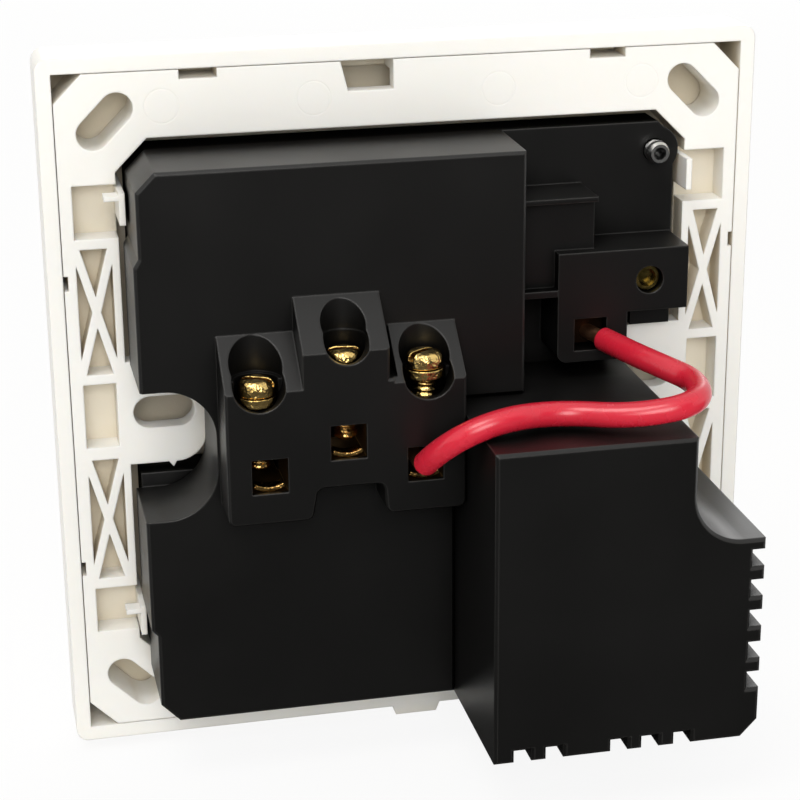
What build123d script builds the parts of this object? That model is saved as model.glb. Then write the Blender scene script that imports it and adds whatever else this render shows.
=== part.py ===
from build123d import *

import os
from math import acos, cos, degrees, pi, radians, sin, sqrt, tan

os.makedirs("parts", exist_ok=True)

# Axes: X to the right of the front, Z up, Y rearward with the wall line at zero.
# Sketches are drawn as seen from behind, so their first number is minus X.

# Front cover
plate = 86.0
cover_depth = 9.0
cover_wall = 1.8
cover_front = 2.0
cover_edge_r = 1.5
cover_in = plate / 2 - cover_wall
cover_inside = cover_front - cover_depth
tab_end = -plate / 2 - 1.2

# Mounting frame
fit = 0.1
frame_half = cover_in - fit
frame_depth = -cover_inside - 0.3
frame_plate = 2.2
frame_cut = 3.3
open_u = frame_half - 6.6
open_v = frame_half - 7.7
open_cut = 3.8
band_in = open_u + 0.9
band_out = frame_half - 1.5
rib_t = 1.0
slot_spacing = plate - 25.7
ear_end = slot_spacing / 2 - 5.05
ear_half = 6.5
ear_r = 3.7
ear_t = 2.5
slot_width = 4.0
slot_length = 7.4
corner_slot = (frame_half - 5.7, frame_half - 5.55)
lug_u = frame_half - 16.6
lug_w = 4.4
lug_depth = 4.7
pry_depth = 5.0
pocket_depth = 3.2
pocket_floor = 1.0
clip_v = open_v - 7.5
arm_top = 3.0

# Rear base
shutter_front = cover_inside + 0.25
shutter_t = 1.6
base_front = shutter_front + shutter_t + 0.35
flange_back = 0.2
block_back = 11.63
term_back = 17.6
flange_u = open_u - 1.5
flange_left = -open_u + 1.2
flange_top = open_v - 1.4
flange_low = -open_v + 1.2
block_low = -open_v - 2.2
block_right = 11.4
block_left = -open_u + 0.5
notch_end = -ear_end - 0.3
ear_gap = 0.5
wall = 1.5
tack_u = flange_u - 2.4
tack_v = flange_top - 3.5
tack_r = 1.4

# Three-pin outlet
pin_u = -13.0
pin_half = 11.1
pin_low = -13.0
pin_top = 9.3
pin_gap = 1.9
leaf_t = 0.7
leaf_front = base_front + 1.2
strip_w = 6.4
strip_t = 0.8
cage = 6.4
cage_hole = 4.4
cage_front = 9.8
cage_back = 16.9
cage_fit = 0.3
cage_room = cage_back + 0.1

# Terminals: window u and v, screw u and y, slope top and low edge, bore radius, bore floor,
# centre of the rear notch, washer underside
term_l = (-20.2, -2.65, -21.1, 14.7, 12.6, 7.45, 3.05, 5.3, 8.15, 5.4)
term_c = (-11.0, 0.75, -10.9, 14.6, 16.65, 11.6, 2.6, 8.1, 12.6, 8.2)
term_r = (-2.0, -2.65, -1.5, 14.7, 12.6, 7.45, 2.95, 5.2, 8.1, 7.2)
terms = (term_l, term_c, term_r)
shank_r = 1.5
thread_fit = 0.05
head_r = 2.15
head_h = 1.9
screw_length = 9.0
washer_r = 2.3
washer_t = 1.0
washer_gap = 0.1
neck_r = washer_r + 0.25
window = 4.2
core_d = 1.8

# Switch
rocker_u = flange_u - 9.7
rocker_v = 17.5
rocker_y = base_front + 0.2
rocker_w = 11.6
rocker_half = tack_v - rocker_v - 2.6
rocker_tilt = 5.5
pivot_r = 1.0
pivot_fit = 0.05
rocker_gap = 0.4
rocker_floor = rocker_y + 3.4
switch_back = 7.5
step_u = 21.4
step_v = 25.0
step_back = 7.4
step_lip = 0.6
step_depth = 1.5
clamp_y = 3.2
clamp_t = 1.8
clamp_u = rocker_u + 4.7
clamp_v = rocker_v - 3.1
clamp_hole = 1.7

# Shutter
shutter_travel = 5.0
shutter_half = pin_half + 4.3
shutter_fit = 0.3

# Charger
case_u = 2.95
case_right = open_u + 0.6
case_top = 2.63
case_low = -open_v - 2.4
case_front = 0.3
case_back = 30.6
case_wall = 1.55
scoop_u = ear_end + 1.4
scoop_v = -10.4
scoop_r = 6.0
vent_w = 2.1
vent_d = 1.5
port_u = scoop_u - 10.0
port_v = (-10.0, -22.0)
port_w = 13.1
port_h = 5.7
board_y = 6.6
board_t = 1.2

# Link wire: insulation, and points of its route as (u, v, y)
wire_d = 2.9
route = [
    (22.15, 7.62, 8.4),
    (23.8, 7.45, 13.4),
    (26.2, 7.0, 17.8),
    (29.2, 6.2, 22.0),
    (26.9, 6.2, 29.2),
    (19.5, 4.9, 28.0),
    (12.0, 4.5, 23.6),
    (4.5, 5.1, 26.0),
    (-1.6, 2.2, 25.0),
    (-2.4, -2.0, 19.3),
]


def back(y):
    """Plane at depth y, first axis toward minus X, second axis up."""
    return Plane(origin=(0, y, 0), x_dir=(-1, 0, 0), z_dir=(0, 1, 0))


def level(z):
    """Plane at height z, first axis toward minus X, second axis rearward, growing downward."""
    return Plane(origin=(0, 0, z), x_dir=(-1, 0, 0), z_dir=(0, 0, -1))


def side(u):
    """Plane at u, first axis rearward, second axis up, growing toward smaller u."""
    return Plane(origin=(-u, 0, 0), x_dir=(0, 1, 0), z_dir=(1, 0, 0))


def rect(u0, u1, v0, v1, mode=Mode.ADD):
    """Rectangle between two values of each axis of the open sketch."""
    with Locations(((u0 + u1) / 2, (v0 + v1) / 2)):
        Rectangle(u1 - u0, v1 - v0, mode=mode)


def octagon(half_u, half_v, cut):
    """Corners of a rectangle with equal corner cuts."""
    return [
        (half_u - cut, half_v),
        (half_u, half_v - cut),
        (half_u, cut - half_v),
        (half_u - cut, -half_v),
        (cut - half_u, -half_v),
        (-half_u, cut - half_v),
        (-half_u, half_v - cut),
        (cut - half_u, half_v),
    ]


def save(built, name):
    """Label a finished part and write it out."""
    built.part.label = name
    export_step(built.part, "parts/" + name + ".step")


# Front cover: shallow square tray with the outlet, rocker and charger openings
with BuildPart() as front_cover:
    with BuildSketch(back(-cover_depth)):
        RectangleRounded(plate, plate, cover_edge_r)
    extrude(amount=cover_depth)
    fillet(front_cover.faces().sort_by(Axis.Y)[0].edges(), cover_edge_r * 0.9)
    with BuildSketch(back(cover_inside)):
        Rectangle(2 * cover_in, 2 * cover_in)
    extrude(amount=cover_depth, mode=Mode.SUBTRACT)
    with BuildSketch(back(-cover_depth)):
        with Locations((pin_u, pin_top)):
            Rectangle(4.8, 8.8)
        with Locations((pin_u - pin_half, pin_low), (pin_u + pin_half, pin_low)):
            Rectangle(7.2, 4.8)
        with Locations((rocker_u, rocker_v)):
            Rectangle(rocker_w + 2 * rocker_gap, 2 * rocker_half + 1.5)
        for v in port_v:
            with Locations((port_u, v)):
                Rectangle(port_w + 0.6, port_h + 0.6)
    extrude(amount=cover_front, mode=Mode.SUBTRACT)
    with BuildSketch(back(fit - lug_depth)):
        with GridLocations(2 * lug_u, 2 * cover_in - 0.8, 2, 2):
            Rectangle(lug_w - 0.6, 0.8)
    extrude(amount=1.2)
    with BuildSketch(back(-1.3)):
        tab_root = 0.5 - plate / 2
        Polygon((-2.7, tab_root), (3.9, tab_root), (3.2, tab_end), (-2.1, tab_end), align=None)
    extrude(amount=1.3)
save(front_cover, "front_cover")

# Mounting frame: ribbed ring that carries the base, with fixing ears, clip arms and corner slots
with BuildPart() as mounting_frame:
    with BuildSketch(back(-frame_depth)):
        Polygon(*octagon(frame_half, frame_half, frame_cut), align=None)
        Polygon(*octagon(open_u, open_v, open_cut), align=None, mode=Mode.SUBTRACT)
        for s in (-1, 1):
            for v0, v1 in ((5.2, clip_v - 5.3), (4.8 - clip_v, -5.6)):
                u0, u1 = sorted((s * band_in, s * band_out))
                rect(u0, u1, v0, v1, Mode.SUBTRACT)
                brace = sqrt((v1 - v0) ** 2 + (u1 - u0) ** 2)
                lean = degrees(acos((u1 - u0) / brace))
                with Locations(((u0 + u1) / 2, (v0 + v1) / 2)):
                    Rectangle(brace, rib_t, rotation=lean)
                    Rectangle(brace, rib_t, rotation=-lean)
            u0, u1 = sorted((s * (band_in + 0.3), s * band_out))
            rect(u0, u1, -4.0, 4.0, Mode.SUBTRACT)
            for v0, v1 in ((clip_v - 4.1, clip_v + 2.3), (-clip_v - 2.3, 3.5 - clip_v)):
                u0, u1 = sorted((s * (open_u - 1), s * band_out))
                rect(u0, u1, v0, v1, Mode.SUBTRACT)
            for v in (16.6, -19.65):
                u0, u1 = sorted((s * (frame_half - 0.5), s * (frame_half + 1)))
                rect(u0, u1, v - 0.9, v + 0.9, Mode.SUBTRACT)
            for t in (-1, 1):
                with Locations((s * corner_slot[0], t * corner_slot[1])):
                    SlotCenterToCenter(4.0, 3.8, rotation=-45 * s * t, mode=Mode.SUBTRACT)
    extrude(amount=frame_depth)
    with BuildSketch(back(-frame_depth)):
        for t in (-1, 1):
            v0, v1 = sorted((t * (open_v + 1.2), t * (frame_half - 1.5)))
            rect(4 - open_u, open_u - 4, v0, v1)
    extrude(amount=frame_depth - frame_plate, mode=Mode.SUBTRACT)
    with BuildSketch(back(-ear_t)):
        for s in (-1, 1):
            u0, u1 = sorted((s * ear_end, s * (open_u + 0.5)))
            with Locations(((u0 + u1) / 2, 0)):
                RectangleRounded(u1 - u0, 2 * ear_half, ear_r)
            u0, u1 = sorted((s * (ear_end + 5), s * (open_u + 0.5)))
            rect(u0, u1, -ear_half, ear_half)
            tip_u = s * (ear_end + 3.7)
            tip_v = 0.2 - ear_half
            Polygon((tip_u + s * 1.2, tip_v), (tip_u, tip_v), (tip_u + s * 0.5, tip_v - 0.9), align=None)
        with GridLocations(slot_spacing, 0, 2, 1):
            SlotOverall(slot_length, slot_width, mode=Mode.SUBTRACT)
    extrude(amount=ear_t)
    with BuildSketch(back(-frame_depth)):
        for s in (-1, 1):
            for t in (-1, 1):
                u0, u1 = sorted((s * (open_u - 0.7), s * (band_out + 0.3)))
                rect(u0, u1, t * clip_v - 2.0, t * clip_v + 2.0)
    extrude(amount=1.2)
    with BuildSketch(back(-frame_depth)):
        for s, t in ((-1, 1), (-1, -1), (1, 1)):
            u0, u1 = sorted((s * (open_u - 0.7), s * open_u))
            rect(u0, u1, t * clip_v - 1.9, t * clip_v + 1.9)
    extrude(amount=frame_depth + arm_top)
    with BuildSketch(back(arm_top - 2.0)):
        for t in (-1, 1):
            rect(-open_u - 1.7, 0.1 - open_u, t * clip_v + 1.0, t * clip_v + 1.6)
    extrude(amount=2.0)
    with BuildSketch(back(-pocket_depth - pocket_floor)):
        for s in (-1, 1):
            u0, u1 = sorted((s * (open_u - 0.1), s * (band_out + 0.3)))
            rect(u0, u1, -clip_v - 2.6, clip_v + 2.6)
    extrude(amount=pocket_floor)
    with BuildSketch(back(-lug_depth)):
        with GridLocations(2 * lug_u, 2 * frame_half - 1.0, 2, 2):
            Rectangle(lug_w, 1.2)
    extrude(amount=lug_depth, mode=Mode.SUBTRACT)
    with BuildSketch(back(-pry_depth)):
        pry_v = frame_half - 3.5
        top_v = frame_half + 0.1
        Polygon((-7.9, top_v), (-1.6, top_v), (-1.6, pry_v), (-7.0, pry_v), align=None)
    extrude(amount=pry_depth, mode=Mode.SUBTRACT)
save(mounting_frame, "mounting_frame")

# Rear base: dark moulding with the outlet block, three terminal blocks and the switch block
block_outline = [
    (block_left + 2.8, flange_top),
    (block_right, flange_top),
    (block_right, case_top + 0.2),
    (case_u - 0.1, case_top + 0.2),
    (case_u - 0.1, block_low),
    (block_left + 2.9, block_low),
    (block_left + 0.7, block_low + 2.3),
    (block_left + 0.7, block_low + 11.4),
    (block_left, block_low + 12.2),
    (block_left, flange_top - 10.8),
    (block_left + 0.6, flange_top - 9.8),
    (block_left + 0.6, flange_top - 2.2),
]
term_outline = [
    (-25.1, 12.6),
    (-16.15, 12.6),
    (-16.15, 16.65),
    (-6.1, 16.65),
    (-6.1, 8.0),
    (-5.1, 8.0),
    (-5.1, 12.6),
    (case_u - 0.1, 12.6),
    (case_u - 0.1, -8.5),
    (-6.6, -8.5),
    (-6.9, -4.7),
    (-14.6, -4.7),
    (-15.3, -8.5),
    (-25.1, -8.5),
]
with BuildPart() as rear_base:
    with BuildSketch(back(base_front)):
        Polygon(
            (flange_left + 2.3, flange_top),
            (flange_u - 2.0, flange_top),
            (flange_u, flange_top - 2.0),
            (flange_u, flange_low + 2.0),
            (flange_u - 2.0, flange_low),
            (flange_left + 2.3, flange_low),
            (flange_left, flange_low + 2.2),
            (flange_left, flange_top - 2.2),
            align=None,
        )
        with Locations((tack_u, tack_v)):
            Circle(3.0)
        for s in (-1, 1):
            u0, u1 = sorted((s * (ear_end - ear_gap), s * (open_u + 1.5)))
            rect(u0, u1, -ear_half - 1.2, ear_half + ear_gap, Mode.SUBTRACT)
    extrude(amount=flange_back - base_front)
    with BuildSketch(back(flange_back)):
        Polygon(*block_outline, align=None)
    extrude(amount=block_back - flange_back)
    chamfer(rear_base.faces().sort_by(Axis.Y)[-1].outer_wire().edges(), 0.3)
    with BuildSketch(back(block_back - 1.0)) as term_sketch:
        Polygon(*term_outline, align=None)
        fillet(term_sketch.vertices().sort_by(Axis.Y)[:6], 0.9)
    extrude(amount=term_back - block_back + 1.0)
    chamfer(rear_base.faces().sort_by(Axis.Y)[-1].outer_wire().edges(), 0.25)
    for (u, v, at, deep, slope_top, slope_low, r, floor, notch, washer), (u0, u1) in zip(
        terms, ((-25.3, -16.15), (-16.15, -5.6), (-5.6, case_u + 0.1))
    ):
        fall = (slope_top - slope_low) / (term_back - block_back)
        with BuildSketch(side(u1)):
            Polygon(
                (block_back, slope_top),
                (term_back + 1, slope_low - fall),
                (term_back + 1, slope_top + 1),
                (block_back, slope_top + 1),
                align=None,
            )
        extrude(amount=u1 - u0, mode=Mode.SUBTRACT)
        with BuildSketch(level(slope_top + 0.6)):
            with Locations((at, deep)):
                Circle(r)
        extrude(amount=slope_top + 0.6 - notch, mode=Mode.SUBTRACT)
        with BuildSketch(level(notch + 0.1)):
            with Locations((at, deep)):
                Circle(neck_r)
        extrude(amount=notch + 0.1 - floor, mode=Mode.SUBTRACT)
        with BuildSketch(back(deep)):
            with Locations((at, notch)):
                Circle(r)
        extrude(amount=term_back + 1 - deep, mode=Mode.SUBTRACT)
        with BuildSketch(level(floor + 0.1)):
            with Locations((at, deep)):
                Circle(shank_r + 0.3)
        extrude(amount=floor + 0.1 - v, mode=Mode.SUBTRACT)
        with BuildSketch(back(base_front)):
            with Locations((u, v)):
                Rectangle(cage + 2 * cage_fit, cage + 2 * cage_fit)
        extrude(amount=cage_room - base_front, mode=Mode.SUBTRACT)
        with BuildSketch(back(cage_room)):
            with Locations((u, v)):
                Rectangle(window, window)
        extrude(amount=1.0, mode=Mode.SUBTRACT)
    with BuildSketch(back(flange_back)) as notch_sketch:
        rect(block_left - 1, notch_end, -9.5, 6.4)
        fillet(notch_sketch.vertices().sort_by(Axis.X)[-2:], 6.0)
    extrude(amount=term_back, mode=Mode.SUBTRACT)
    with BuildSketch(back(flange_back)):
        rect(block_left - 1, -ear_end + ear_gap, -9.5, ear_half + ear_gap)
    extrude(amount=0.3, mode=Mode.SUBTRACT)
    with BuildSketch(back(base_front)):
        rect(pin_u - pin_half - 3.6, pin_u - pin_half + 3.6, pin_low - 3.4, pin_low + 2.9)
        rect(term_l[0] - 3.5, term_l[0] + 3.5, pin_low, term_l[1])
        rect(pin_u + pin_half - 3.5, pin_u + pin_half + 3.3, pin_low - 3.4, pin_low + 2.9)
        rect(term_r[0] - 3.5, term_r[0] + 3.5, pin_low, term_r[1])
        rect(pin_u - 3.2, pin_u + 3.2, pin_top - 5, pin_top + 4.3)
        rect(pin_u - 1.6, term_c[0] + 3.5, term_c[1], pin_top - 4)
        rect(block_left + 3.5, block_right - 2.0, 18.4, flange_top - 1.8)
        rect(block_left + 3.5, 0.8, flange_low + 1.6, -18.2)
    extrude(amount=block_back - 2.2 - base_front, mode=Mode.SUBTRACT)
    with BuildSketch(back(base_front)):
        u0, u1 = port_u - port_w / 2 - 0.55, port_u + port_w / 2 + 0.55
        rect(u0, u1, port_v[1] - port_h / 2 - 0.65, port_v[0] + port_h / 2 + 0.65)
    extrude(amount=flange_back - base_front, mode=Mode.SUBTRACT)
    with BuildSketch(back(flange_back - 0.5)):
        rect(block_right - 0.5, step_u, rocker_v - 4.5, step_v)
    extrude(amount=step_back - flange_back + 0.5)
    with BuildSketch(back(step_back - step_depth)):
        rect(block_right, step_u + 0.1, rocker_v - 3.7, step_v - step_lip)
    extrude(amount=step_depth, mode=Mode.SUBTRACT)
    with BuildSketch(back(flange_back - 0.5)) as switch_sketch:
        Polygon(
            (rocker_u - 6.7, rocker_v + 0.8),
            (rocker_u + 9.5, rocker_v + 0.8),
            (rocker_u + 9.5, rocker_v - 6.9),
            (rocker_u + 2.0, rocker_v - 6.9),
            (rocker_u + 2.0, rocker_v - 12.8),
            (rocker_u - 6.7, rocker_v - 12.8),
            align=None,
        )
        fillet(switch_sketch.vertices().sort_by(Axis.Y)[:2], 1.2)
    extrude(amount=switch_back - flange_back + 0.5)
    with BuildSketch(back(flange_back - 0.5)):
        rect(rocker_u + 4.3, rocker_u + 9.3, ear_half + ear_gap, rocker_v - 6.7)
    extrude(amount=2.0)
    with BuildSketch(back(base_front)):
        with Locations((rocker_u, rocker_v)):
            Rectangle(rocker_w + 2 * rocker_gap, 2 * rocker_half + 1.8)
    extrude(amount=rocker_floor - base_front, mode=Mode.SUBTRACT)
    with BuildSketch(back(rocker_floor - 0.1)):
        rect(rocker_u - 5.1, rocker_u + 8.1, rocker_v - 5.5, rocker_v - 0.7)
        rect(rocker_u - 5.1, rocker_u + 0.7, rocker_v - 11.5, rocker_v - 5.4)
    extrude(amount=switch_back - wall - rocker_floor + 0.1, mode=Mode.SUBTRACT)
    with BuildSketch(back(clamp_y)):
        rect(rocker_u - 4.6, rocker_u - 0.6, rocker_v - 11.4, rocker_v - 7.4)
        with Locations((clamp_u, clamp_v)):
            Circle(clamp_hole)
    extrude(amount=switch_back, mode=Mode.SUBTRACT)
    with BuildSketch(back(base_front)):
        with Locations((rocker_u - rocker_w / 2 - 1.3, rocker_v), (rocker_u + rocker_w / 2 + 1.3, rocker_v)):
            Rectangle(1.7, 4.4)
    extrude(amount=cover_inside + 0.3 - base_front)
    with BuildSketch(side(rocker_u + rocker_w / 2 + 1.9)):
        with Locations((rocker_y, rocker_v)):
            Circle(pivot_r + pivot_fit)
    extrude(amount=rocker_w + 3.8, mode=Mode.SUBTRACT)
    with BuildSketch(back(base_front)):
        rect(pin_u - shutter_half - shutter_fit - 1, pin_u - shutter_half - shutter_fit, -24.0, -10.0)
        rect(pin_u + shutter_half + shutter_fit, pin_u + shutter_half + shutter_fit + 1, -24.0, -3.0)
    extrude(amount=cover_inside + 0.3 - base_front)
    with BuildSketch(back(base_front)):
        with Locations((tack_u, tack_v)):
            Circle(tack_r + thread_fit)
    extrude(amount=6.0, mode=Mode.SUBTRACT)
save(rear_base, "rear_base")

# Outlet contacts: clamp cage for the conductor, strip, and two leaves for the pin
for name, pin, (u, v, at, deep) in (
    ("live_contact", pin_u - pin_half, term_l[:4]),
    ("neutral_contact", pin_u + pin_half, term_r[:4]),
):
    cage_foot = v - cage / 2
    with BuildPart() as pin_contact:
        with BuildSketch(back(cage_front)):
            with Locations((u, v)):
                Rectangle(cage, cage)
                Rectangle(cage_hole, cage_hole, mode=Mode.SUBTRACT)
        extrude(amount=cage_back - cage_front)
        with BuildSketch(level(v + cage)):
            with Locations((at, deep)):
                Circle(shank_r + thread_fit)
        extrude(amount=cage, mode=Mode.SUBTRACT)
        with BuildSketch(back(strip_w)):
            rect(pin - 2.9, pin + 2.9, pin_low - pin_gap - leaf_t, pin_low + pin_gap + leaf_t)
            rect(u - 2.0, u + 2.0, pin_low, cage_foot + 1.0)
        extrude(amount=strip_t)
        with BuildSketch(back(strip_w)):
            rect(u - 2.0, u + 2.0, cage_foot, cage_foot + 1.0)
        extrude(amount=cage_front - strip_w)
        with BuildSketch(back(leaf_front)):
            rect(pin - 2.9, pin + 2.9, pin_low + pin_gap, pin_low + pin_gap + leaf_t)
            rect(pin - 2.9, pin + 2.9, pin_low - pin_gap - leaf_t, pin_low - pin_gap)
        extrude(amount=strip_w + strip_t - leaf_front)
    save(pin_contact, name)

with BuildPart() as earth_contact:
    cage_head = term_c[1] + cage / 2
    with BuildSketch(back(cage_front)):
        with Locations(term_c[:2]):
            Rectangle(cage, cage)
            Rectangle(cage_hole, cage_hole, mode=Mode.SUBTRACT)
    extrude(amount=cage_back - cage_front)
    with BuildSketch(level(cage_head + 1)):
        with Locations(term_c[2:4]):
            Circle(shank_r + thread_fit)
    extrude(amount=cage_head + 1 - term_c[1], mode=Mode.SUBTRACT)
    with BuildSketch(back(strip_w)):
        rect(pin_u - 2.6, pin_u + 2.6, pin_top - 3.7, pin_top + 3.7)
        rect(pin_u - 1.2, pin_u + 2.6, cage_head - 1.0, pin_top)
    extrude(amount=strip_t)
    with BuildSketch(back(strip_w)):
        rect(pin_u - 1.2, pin_u + 2.6, cage_head - 1.0, cage_head)
    extrude(amount=cage_front - strip_w)
    with BuildSketch(back(leaf_front)):
        rect(pin_u + pin_gap, pin_u + pin_gap + leaf_t, pin_top - 3.7, pin_top + 3.7)
        rect(pin_u - pin_gap - leaf_t, pin_u - pin_gap, pin_top - 3.7, pin_top + 3.7)
    extrude(amount=strip_w + strip_t - leaf_front)
save(earth_contact, "earth_contact")

# Terminal screws: three alike, slotted pan heads over the clamp cages
with BuildPart() as terminal_screws:
    for (u, v, at, deep, *rest, washer), turn in zip(terms, (25, 80, 150)):
        head = washer + washer_t + washer_gap
        top = head + head_h
        tip = head - screw_length
        with BuildSketch(Plane(origin=(-at, deep, 0), x_dir=(1, 0, 0), z_dir=(0, -1, 0))):
            Polygon(
                (0, top),
                (head_r - 0.8, top),
                (head_r - 0.25, top - 0.25),
                (head_r, top - 0.7),
                (head_r, head),
                (shank_r, head),
                (shank_r, tip + 0.6),
                (shank_r - 0.6, tip),
                (0, tip),
                align=None,
            )
        revolve(axis=Axis((-at, deep, 0), (0, 0, 1)))
        with BuildSketch(level(top)):
            with Locations((at, deep)):
                Rectangle(2 * head_r + 1, 0.8, rotation=turn)
        extrude(amount=0.9, mode=Mode.SUBTRACT)
save(terminal_screws, "terminal_screws")

# Captive washers under the terminal screw heads
with BuildPart() as terminal_washers:
    for u, v, at, deep, *rest, washer in terms:
        with BuildSketch(level(washer + washer_t)):
            with Locations((at, deep)):
                Circle(washer_r)
                Circle(shank_r + thread_fit, mode=Mode.SUBTRACT)
        extrude(amount=washer_t)
save(terminal_washers, "terminal_washers")

# Switch clamp: plate behind the wire window, with a saddle for its screw
with BuildPart() as switch_clamp:
    with BuildSketch(back(clamp_y)):
        rect(rocker_u - 4.8, rocker_u + 7.8, rocker_v - 5.2, rocker_v - 1.0)
        rect(rocker_u - 4.8, rocker_u + 0.4, rocker_v - 11.2, rocker_v - 5.1)
    extrude(amount=clamp_t)
    with BuildSketch(back(clamp_y - 1.0)):
        with Locations((clamp_u, clamp_v)):
            Circle(2.0)
    extrude(amount=1.1)
    with BuildSketch(back(clamp_y - 1.0)):
        with Locations((clamp_u, clamp_v)):
            Circle(1.2 + thread_fit)
    extrude(amount=4.0, mode=Mode.SUBTRACT)
save(switch_clamp, "switch_clamp")

with BuildPart() as switch_screw:
    with BuildSketch(back(clamp_y - 1.0)):
        with Locations((clamp_u, clamp_v)):
            Circle(1.2)
    extrude(amount=clamp_t + 1.0)
    with BuildSketch(back(clamp_y + clamp_t)):
        with Locations((clamp_u, clamp_v)):
            Circle(clamp_hole - 0.2)
    extrude(amount=1.5)
    with BuildSketch(back(clamp_y + clamp_t + 0.4)):
        with Locations((clamp_u, clamp_v)):
            Circle(clamp_hole - 0.6)
    extrude(amount=1.1, mode=Mode.SUBTRACT)
save(switch_screw, "switch_screw")

# Contact leaf: spring strip under the rocker, tied to the clamp
with BuildPart() as contact_leaf:
    with BuildSketch(back(rocker_floor - 0.4)):
        rect(rocker_u - 2.7, rocker_u + 2.7, rocker_v - 3.9, rocker_v + rocker_half - 0.3)
    extrude(amount=0.4)
    with BuildSketch(back(rocker_floor)):
        rect(rocker_u - 2.7, rocker_u + 2.7, rocker_v - 3.9, rocker_v - 3.4)
    extrude(amount=clamp_y - rocker_floor)
save(contact_leaf, "contact_leaf")

# Rocker: shallow V face, two trunnions, resting in its off position
lean_plane = Plane(
    origin=(-rocker_u - rocker_w / 2, rocker_y, rocker_v),
    x_dir=(0, cos(radians(rocker_tilt)), -sin(radians(rocker_tilt))),
    z_dir=(1, 0, 0),
)
with BuildPart() as rocker:
    with BuildSketch(lean_plane):
        Polygon(
            (-5.9, -rocker_half),
            (-5.2, 0),
            (-5.9, rocker_half),
            (-0.9, rocker_half),
            (1.4, 3.0),
            (1.4, -3.0),
            (-0.9, -rocker_half),
            align=None,
        )
    extrude(amount=rocker_w)
    fillet(rocker.edges().filter_by(Axis.X).sort_by(Axis.Y)[:2], 0.6)
    with BuildSketch(side(rocker_u + rocker_w / 2 + 1.6)):
        with Locations((rocker_y, rocker_v)):
            Circle(pivot_r)
    extrude(amount=rocker_w + 3.2)
save(rocker, "rocker")

# Shutter: plate that blocks the two lower pin openings until the upper pin drives it down
with BuildPart() as shutter:
    with BuildSketch(back(shutter_front)):
        rect(pin_u - shutter_half, pin_u + shutter_half, pin_low - 4.5, pin_low + 8.6)
        rect(pin_u - 4.0, pin_u + 4.0, pin_low + 8.5, pin_top - 1.0)
        with Locations(
            (pin_u - pin_half, pin_low + shutter_travel),
            (pin_u + pin_half, pin_low + shutter_travel),
        ):
            Rectangle(7.4, 4.9, mode=Mode.SUBTRACT)
    extrude(amount=shutter_t)
    with BuildSketch(side(pin_u + 4.0)):
        Polygon(
            (shutter_front, pin_top - 1.0),
            (shutter_front + shutter_t, pin_top - 1.0),
            (shutter_front, pin_top - 3.4),
            align=None,
        )
    extrude(amount=8.0, mode=Mode.SUBTRACT)
save(shutter, "shutter")

# Assembly screw: self-tapping, its tip showing behind the flange
with BuildPart() as assembly_screw:
    with BuildSketch(Plane(origin=(-tack_u, 0, tack_v), x_dir=(1, 0, 0), z_dir=(0, 0, 1))):
        Polygon(
            (0, base_front - 1.7),
            (2.0, base_front - 1.7),
            (2.3, base_front - 1.3),
            (2.3, base_front),
            (tack_r, base_front),
            (tack_r, flange_back + 1.6),
            (tack_r - 0.5, flange_back + 2.2),
            (0.5, flange_back + 2.2),
            (0.5, flange_back + 1.5),
            (0, flange_back + 1.5),
            align=None,
        )
    revolve(axis=Axis((-tack_u, 0, tack_v), (0, 1, 0)))
    with BuildSketch(back(base_front - 1.7)):
        with Locations((tack_u, tack_v)):
            Rectangle(3.2, 0.7)
            Rectangle(0.7, 3.2)
    extrude(amount=0.9, mode=Mode.SUBTRACT)
save(assembly_screw, "assembly_screw")

# Charger case: vented box with a scoop that leaves room for the fixing screw
with BuildPart() as usb_case:
    with BuildSketch(back(case_front)) as case_sketch:
        Polygon(
            (case_u, case_top),
            (scoop_u, case_top),
            (scoop_u, scoop_v),
            (case_right, scoop_v),
            (case_right, case_low + 2.1),
            (case_right - 2.0, case_low),
            (case_u, case_low),
            align=None,
        )
        fillet(case_sketch.vertices().sort_by_distance((scoop_u, scoop_v, 0))[0], scoop_r)
        for v in (-12.85, -16.65, -20.5, -24.6, -28.45):
            with Locations((case_right, v)):
                Rectangle(2 * vent_d, vent_w, mode=Mode.SUBTRACT)
        for u in (6.4, 10.25, 18.1, 21.9, 25.85):
            with Locations((u, case_low)):
                Rectangle(vent_w, 2 * vent_d, mode=Mode.SUBTRACT)
    extrude(amount=case_back - case_front)
    chamfer(usb_case.faces().sort_by(Axis.Y)[-1].outer_wire().edges(), 0.35)
    case_right_in = case_right - vent_d - 1.2
    case_low_in = case_low + vent_d + 1.2
    with BuildSketch(back(case_front)) as room_sketch:
        Polygon(
            (case_u + case_wall, case_top - case_wall),
            (scoop_u - case_wall, case_top - case_wall),
            (scoop_u - case_wall, scoop_v - case_wall),
            (case_right_in, scoop_v - case_wall),
            (case_right_in, case_low_in),
            (case_u + case_wall, case_low_in),
            align=None,
        )
        inner = (scoop_u - case_wall, scoop_v - case_wall, 0)
        fillet(room_sketch.vertices().sort_by_distance(inner)[0], scoop_r)
    extrude(amount=case_back - case_front - case_wall, mode=Mode.SUBTRACT)
save(usb_case, "usb_case")

# Charger board and the parts it carries
board_back = board_y + board_t
with BuildPart() as usb_board:
    with BuildSketch(back(board_y)):
        Polygon(
            (5.5, 0.0),
            (scoop_u - 7.5, 0.0),
            (scoop_u - 2.5, -19.0),
            (case_right_in - 1.0, -19.0),
            (case_right_in - 1.0, case_low + 3.8),
            (5.5, case_low + 3.8),
            align=None,
        )
    extrude(amount=board_t)
save(usb_board, "usb_board")

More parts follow.
